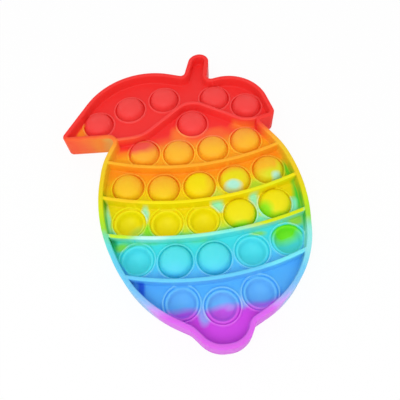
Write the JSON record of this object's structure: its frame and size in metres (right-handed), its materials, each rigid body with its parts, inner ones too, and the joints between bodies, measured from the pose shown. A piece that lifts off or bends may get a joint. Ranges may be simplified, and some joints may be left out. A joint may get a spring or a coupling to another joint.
{
  "type": "push-bubble toy",
  "caption": "Lemon-shaped push-bubble fidget toy with leaves and a stem, moulded in one piece of rainbow silicone rubber.",
  "frame": {"origin": "centre of the bounding box at the face that the toy lies on", "axes": "+Z out of the face that is up as it lies, +Y towards the stem, +X to the right seen from above"},
  "size_m": [0.1284, 0.1788, 0.015],
  "materials": {
    "silicone": "satin"
  },
  "bodies": {
    "root": {"bubble_board": "silicone"}
  },
  "joints": []
}
